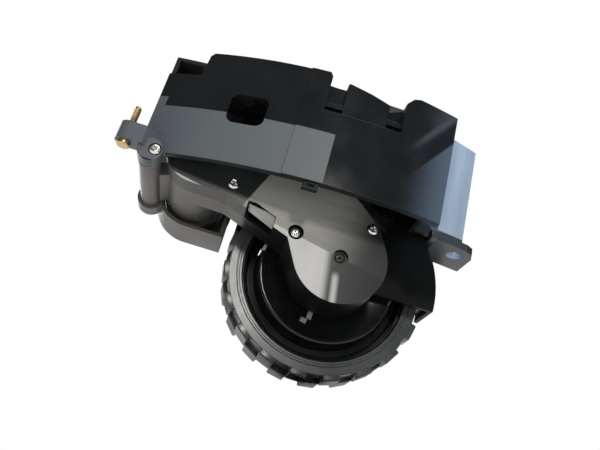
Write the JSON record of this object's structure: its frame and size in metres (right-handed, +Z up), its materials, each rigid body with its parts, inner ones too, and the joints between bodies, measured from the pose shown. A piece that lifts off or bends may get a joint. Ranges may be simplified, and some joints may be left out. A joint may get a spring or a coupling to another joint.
{
  "type": "robot vacuum wheel module",
  "caption": "Drive wheel module of a robot vacuum: a sprung gearbox arm with a treaded wheel, hinged in a curved two-part housing with fastening lugs.",
  "frame": {"origin": "centre of the rear lug's screw hole, in the lug's lower face", "axes": "+X along the robot's skirt, from the hinge towards the rear lug; +Y into the robot, along the wheel's axle; +Z up, along the rear lug's hole"},
  "size_m": [0.1213, 0.0683, 0.1089],
  "materials": {
    "gloss_black": "polished black ABS",
    "satin_black": "fine-grained black ABS",
    "gearbox_grey": "fine-grained dark grey plastic",
    "rim_black": "polished black plastic",
    "tyre": "moulded rubber",
    "gear_plastic": "natural acetal",
    "steel": "turned steel",
    "screw_steel": "bright plated steel",
    "spring_steel": "drawn spring wire",
    "motor_steel": "plated motor can",
    "brass": "turned brass",
    "bronze": "sintered bronze",
    "magnet": "pressed ferrite",
    "board": "coated circuit board",
    "contact": "plated contact strip",
    "switch_case": "moulded switch case",
    "cream": "moulded nylon"
  },
  "bodies": {
    "housing": {"outer_housing": "gloss_black", "inner_housing": "satin_black", "motor_end_cover": "gearbox_grey", "housing_screws": "screw_steel", "end_cover_screws": "screw_steel", "pivot_pin": "steel", "pivot_screw": "screw_steel", "mount_screw": "brass", "suspension_spring": "spring_steel", "drop_switch": "switch_case", "connector_shell": "cream", "connector_contacts": "contact"},
    "arm": {"gearbox_cover": "gearbox_grey", "gearbox_case": "gearbox_grey", "cover_screws": "screw_steel", "gear_pins": "steel", "front_bush": "bronze", "back_bush": "bronze", "motor_can": "motor_steel", "motor_end_cap": "satin_black", "motor_terminals": "contact", "motor_screws": "screw_steel", "spring_horn": "gearbox_grey", "encoder_board": "board"},
    "rotor": {"motor_shaft": "steel", "motor_pinion": "brass", "encoder_magnet": "magnet"},
    "gear_1": {"reduction_gear_1": "gear_plastic"},
    "gear_2": {"reduction_gear_2": "gear_plastic"},
    "gear_3": {"reduction_gear_3": "gear_plastic"},
    "gear_4": {"reduction_gear_4": "gear_plastic"},
    "wheel": {"output_gear": "gear_plastic", "output_shaft": "steel", "wheel_rim": "rim_black", "tyre": "tyre", "axle_screw": "screw_steel", "shaft_clip": "spring_steel"},
    "drop_lever": {"drop_switch_lever": "spring_steel"}
  },
  "joints": [
    {"name": "arm_swing", "type": "hinge", "parent": "housing", "child": "arm", "pos_m": [-0.1039, 0.0186, 0.0035], "axis": [0, -1, 0], "range_deg": [0, 27], "stiffness_Nm_per_rad": 0.175, "springref_deg": -85.37, "deforming": ["suspension_spring"]},
    {"name": "wheel_spin", "type": "hinge", "parent": "arm", "child": "wheel", "pos_m": [-0.0354, 0.0351, -0.01], "axis": [0, -1, 0], "continuous": true},
    {"name": "rotor_spin", "type": "hinge", "parent": "arm", "child": "rotor", "pos_m": [-0.089, 0.0136, 0.0109], "axis": [0, -1, 0], "continuous": true},
    {"name": "gear_1_spin", "type": "hinge", "parent": "arm", "child": "gear_1", "pos_m": [-0.07919, 0.0136, 0.01465], "axis": [0, -1, 0], "continuous": true},
    {"name": "gear_2_spin", "type": "hinge", "parent": "arm", "child": "gear_2", "pos_m": [-0.06741, 0.0136, 0.01238], "axis": [0, -1, 0], "continuous": true},
    {"name": "gear_3_spin", "type": "hinge", "parent": "arm", "child": "gear_3", "pos_m": [-0.05613, 0.0136, 0.00828], "axis": [0, -1, 0], "continuous": true},
    {"name": "gear_4_spin", "type": "hinge", "parent": "arm", "child": "gear_4", "pos_m": [-0.04329, 0.0136, 0.00483], "axis": [0, -1, 0], "continuous": true},
    {"name": "drop_lever_swing", "type": "hinge", "parent": "housing", "child": "drop_lever", "pos_m": [-0.0862, 0.0415, 0.03638], "axis": [0, -1, 0], "range_deg": [-8.1, 0]}
  ],
  "couplings": [
    {"joint": "gear_4_spin", "follows": "wheel_spin", "ratio": -2.5},
    {"joint": "gear_3_spin", "follows": "wheel_spin", "ratio": 5.4167},
    {"joint": "gear_2_spin", "follows": "wheel_spin", "ratio": -12.639},
    {"joint": "gear_1_spin", "follows": "wheel_spin", "ratio": 29.491},
    {"joint": "rotor_spin", "follows": "wheel_spin", "ratio": -73.727},
    {"joint": "drop_lever_swing", "follows": "arm_swing", "ratio": -0.3}
  ]
}
